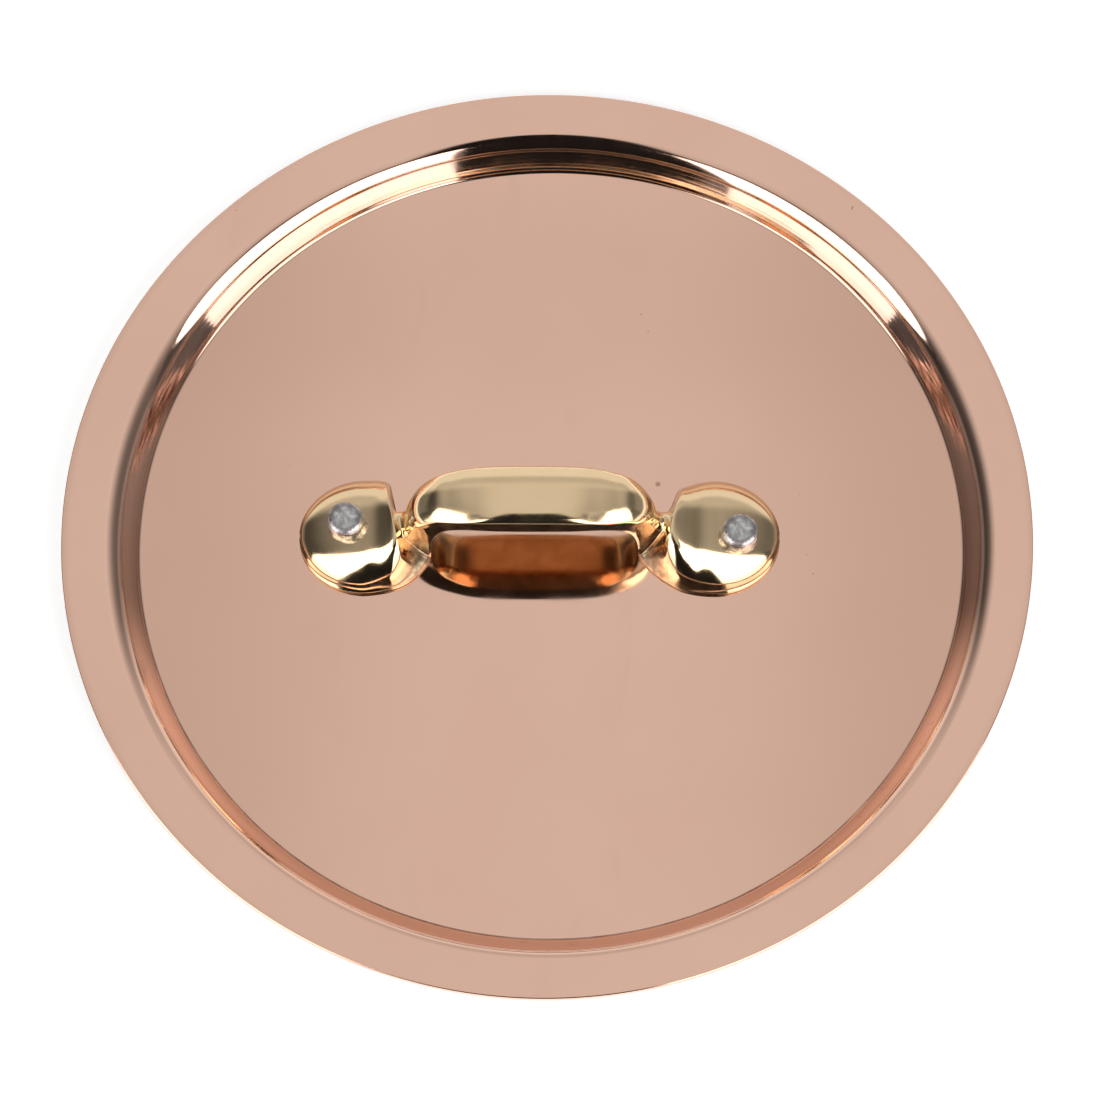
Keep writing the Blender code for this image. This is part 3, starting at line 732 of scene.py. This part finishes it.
copper_depth = SHEET_THICKNESS - LINING_THICKNESS
sheet = sheet_mesh("copper_sheet", 0.0, copper_depth, RIM_RADIUS, 0.2 * MM, 0.05 * MM)
new_object("copper_sheet", sheet, copper_material(), "lid_shell")
skin = sheet_mesh("lining_skin", copper_depth + LAYER_GAP, SHEET_THICKNESS, RIM_RADIUS - 0.05 * MM,
                  0.03 * MM, 0.15 * MM)
new_object("lining_skin", skin, lining_material(), "lid_lining")
new_object("handle_casting", handle_mesh(), brass_material(), "handle")

grey = rivet_material()
for node in ("rivet_left", "rivet_right"):
    low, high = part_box(node)
    body = turned_mesh(node + "_body", rivet_profile(), RIVET_STEPS)
    rivet = new_object(node + "_body", body, grey, node)
    rivet.location = ((low.x + high.x) / 2, (low.y + high.y) / 2, 0.0)


# ---------------------------------------------------------------- studio

# Brightness of the parts of the room, which the metal mirrors
CEILING_LIGHT = 0.875
WALL_LIGHT = 0.70              # back wall
BACK_LIGHT = 1.05              # window low in the back wall
SIDE_LIGHT = 0.19
LOW_SIDE_LIGHT = 0.34
LEFT_SHARE = 0.42              # the left side is darker by this factor
GAP_LIGHT = 0.014              # dark opening in front, between the softboxes
CEILING_EDGE = (0.06, 0.14)    # where the opening ends, as the direction's y
FRAME_SHADE = 0.6              # how much the front below the ceiling is dimmed
SOFTBOX_LIGHT = (1.75, 3.0)    # low and high on the panel
SOFTBOX_FADE = (0.35, 0.65)    # heights between which it changes, in metres
SOFTBOX_RISE = (4, 65)         # degrees of elevation from its lower to its upper edge
SOFTBOX_DISTANCE = 1.3
SOFTBOX_STEPS = 12
FLOOR_SIZE = 4.0
FLOOR_GLOW = 0.35


def emitter(name):
    """A light surface that is dimmer towards its lower edge."""
    mat = bpy.data.materials.new(name)
    mat.use_nodes = True
    tree = mat.node_tree
    tree.nodes.clear()
    glow = tree.nodes.new("ShaderNodeEmission")
    height = split_place(tree, object_place(tree))[2]
    tree.links.new(ramp(tree, height, *SOFTBOX_FADE, *SOFTBOX_LIGHT), glow.inputs["Strength"])
    out = tree.nodes.new("ShaderNodeOutputMaterial")
    tree.links.new(glow.outputs[0], out.inputs["Surface"])
    return mat


def softbox(name, low_edge, high_edge):
    """A curved light panel.

    Each edge is a pair of azimuths in degrees, from the front (-Y) and positive to the right.
    """
    bm = bmesh.new()
    grid = []
    for i in range(SOFTBOX_STEPS + 1):
        row = []
        for j in range(SOFTBOX_STEPS + 1):
            across, up = i / SOFTBOX_STEPS, j / SOFTBOX_STEPS
            e = math.radians(SOFTBOX_RISE[0] + (SOFTBOX_RISE[1] - SOFTBOX_RISE[0]) * up)
            left, right = (low + (high - low) * up for low, high in zip(low_edge, high_edge))
            a = math.radians(left + (right - left) * across)
            spot = Vector((math.sin(a) * math.cos(e), -math.cos(a) * math.cos(e), math.sin(e)))
            row.append(bm.verts.new(spot * SOFTBOX_DISTANCE))
        grid.append(row)
    for near, far in zip(grid, grid[1:]):
        for j in range(SOFTBOX_STEPS):
            bm.faces.new((near[j], near[j + 1], far[j + 1], far[j]))
    mesh = bpy.data.meshes.new(name)
    bm.to_mesh(mesh)
    bm.free()
    mesh.materials.append(emitter(name))
    obj = bpy.data.objects.new(name, mesh)
    bpy.context.scene.collection.objects.link(obj)
    obj.visible_camera = False
    obj.visible_shadow = False


def mix_number(tree, amount, first, second):
    """Number between two others, each a socket or a float."""
    node = tree.nodes.new("ShaderNodeMix")
    for index, value in ((0, amount), (2, first), (3, second)):
        if isinstance(value, float):
            node.inputs[index].default_value = value
        else:
            tree.links.new(value, node.inputs[index])
    return node.outputs[0]


def side_walls(tree, x, z):
    """Brightness of the ceiling and the two sides: darker outwards, with a low glow."""
    high = ramp(tree, math_node(tree, "ABSOLUTE", x), 0.02, 0.78, CEILING_LIGHT, SIDE_LIGHT)
    high = product(tree, high, ramp(tree, x, -0.85, -0.35, LEFT_SHARE, 1.0))
    low_glow = ramp(tree, z, 0.20, 0.40, LOW_SIDE_LIGHT - SIDE_LIGHT, 0.0)
    return math_node(tree, "ADD", high, low_glow)


def back_wall(tree, z):
    """Brightness of the back: a window low down, the wall above it and then the ceiling."""
    window = ramp(tree, z, 0.32, 0.48, BACK_LIGHT, WALL_LIGHT)
    return math_node(tree, "ADD", window, ramp(tree, z, 0.56, 0.76, 0.0, CEILING_LIGHT - WALL_LIGHT))


def front_opening(tree, x, y):
    """1 in the dark wedge that widens from the ceiling's edge down to the front."""
    reach = math_node(tree, "MULTIPLY_ADD", y, -0.50, 0.065)
    spread = math_node(tree, "SUBTRACT", reach, math_node(tree, "ABSOLUTE", x))
    return product(tree, ramp(tree, y, *CEILING_EDGE, 1.0, 0.0), ramp(tree, spread, -0.03, 0.03))


def make_world():
    """A soft room seen only in the metal; the camera itself sees plain white."""
    world = bpy.data.worlds.new("studio")
    bpy.context.scene.world = world
    world.use_nodes = True
    tree = world.node_tree
    tree.nodes.clear()
    x, y, z = split_place(tree, tree.nodes.new("ShaderNodeTexCoord").outputs["Generated"])
    is_back = ramp(tree, y, 0.48, 0.72)
    room = mix_number(tree, is_back, side_walls(tree, x, z), back_wall(tree, z))
    frame_line = product(tree, ramp(tree, z, 0.935, 0.955, FRAME_SHADE, 0.0),
                         ramp(tree, y, -0.05, 0.05, 1.0, 0.0))
    lit = product(tree, math_node(tree, "SUBTRACT", 1.0, front_opening(tree, x, y)),
                  math_node(tree, "SUBTRACT", 1.0, frame_line))
    glow = tree.nodes.new("ShaderNodeBackground")
    tree.links.new(mix_number(tree, lit, GAP_LIGHT, room), glow.inputs["Strength"])
    white = tree.nodes.new("ShaderNodeBackground")
    white.inputs["Color"].default_value = (1.0, 1.0, 1.0, 1.0)
    mix = tree.nodes.new("ShaderNodeMixShader")
    out = tree.nodes.new("ShaderNodeOutputWorld")
    tree.links.new(tree.nodes.new("ShaderNodeLightPath").outputs["Is Camera Ray"], mix.inputs[0])
    tree.links.new(glow.outputs[0], mix.inputs[1])
    tree.links.new(white.outputs[0], mix.inputs[2])
    tree.links.new(mix.outputs[0], out.inputs["Surface"])


def make_floor():
    """A pale floor that glows a little, so that it stays even."""
    mesh = bpy.data.meshes.new("floor")
    bm = bmesh.new()
    bmesh.ops.create_grid(bm, x_segments=1, y_segments=1, size=FLOOR_SIZE)
    bm.to_mesh(mesh)
    bm.free()
    floor = bpy.data.objects.new("floor", mesh)
    bpy.context.scene.collection.objects.link(floor)
    mat = bpy.data.materials.new("pale_floor")
    mat.use_nodes = True
    shader = mat.node_tree.nodes["Principled BSDF"]
    shader.inputs["Base Color"].default_value = (0.9, 0.9, 0.9, 1.0)
    shader.inputs["Roughness"].default_value = 0.9
    shader.inputs["Emission Color"].default_value = (1.0, 1.0, 1.0, 1.0)
    shader.inputs["Emission Strength"].default_value = FLOOR_GLOW
    mesh.materials.append(mat)


make_floor()
softbox("softbox_right", (18, 73), (21, 96))
softbox("softbox_left", (-73, -36), (-96, -32))
make_world()
bpy.context.scene.view_settings.view_transform = "Standard"
